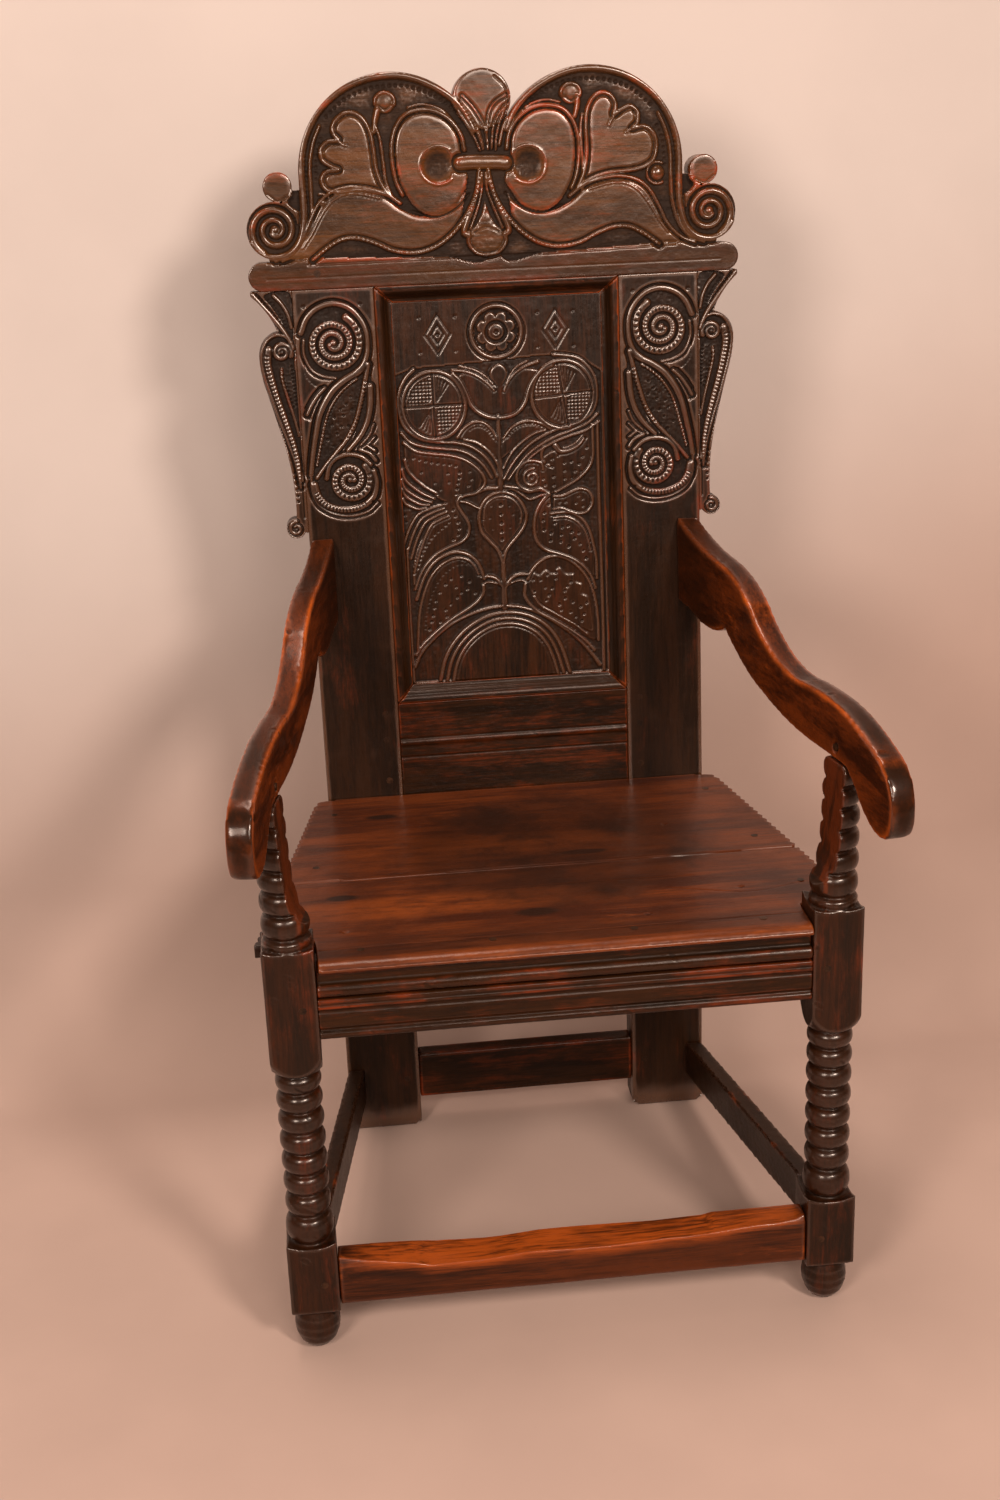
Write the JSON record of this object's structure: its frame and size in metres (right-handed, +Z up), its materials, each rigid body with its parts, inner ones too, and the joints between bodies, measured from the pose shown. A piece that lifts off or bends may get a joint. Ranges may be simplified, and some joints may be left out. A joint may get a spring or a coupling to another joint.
{
  "type": "wainscot chair",
  "caption": "Joined oak armchair with a raked panel back, scrolled crest and ear brackets, serpentine arms on turned front posts, a boarded seat and low stretchers.",
  "frame": {"origin": "on the floor, in the middle of the chair's width and depth", "axes": "+Z up; -Y is the front, where the sitter faces; +X across the chair, to the right as seen from the front"},
  "size_m": [0.631, 0.6003, 1.2564],
  "materials": {
    "dark_oak": "waxed, near black, worn red at the arrises",
    "worn_oak": "waxed, red brown, polished by wear",
    "peg_oak": "waxed end grain"
  },
  "bodies": {
    "root": {"arm_pegs": "peg_oak", "back_panel": "dark_oak", "back_rail_pegs": "peg_oak", "crest_pegs": "peg_oak", "crest_rail": "dark_oak", "ear_dowels": "peg_oak", "front_apron_moulding": "dark_oak", "front_left_post": "dark_oak", "front_right_post": "dark_oak", "front_seat_rail": "dark_oak", "front_stretcher": "worn_oak", "left_arm": "worn_oak", "left_back_post": "dark_oak", "left_ear_bracket": "dark_oak", "left_seat_rail": "dark_oak", "left_stretcher": "dark_oak", "panel_bottom_rail": "dark_oak", "panel_moulding_bottom": "dark_oak", "panel_moulding_left": "dark_oak", "panel_moulding_right": "dark_oak", "panel_moulding_top": "dark_oak", "rear_seat_rail": "dark_oak", "rear_stretcher": "dark_oak", "right_arm": "worn_oak", "right_back_post": "dark_oak", "right_ear_bracket": "dark_oak", "right_seat_rail": "dark_oak", "right_stretcher": "dark_oak", "seat_front_board": "worn_oak", "seat_pegs": "peg_oak", "seat_rail_pegs": "peg_oak", "seat_rear_board": "worn_oak", "stretcher_pegs": "peg_oak"}
  },
  "joints": []
}
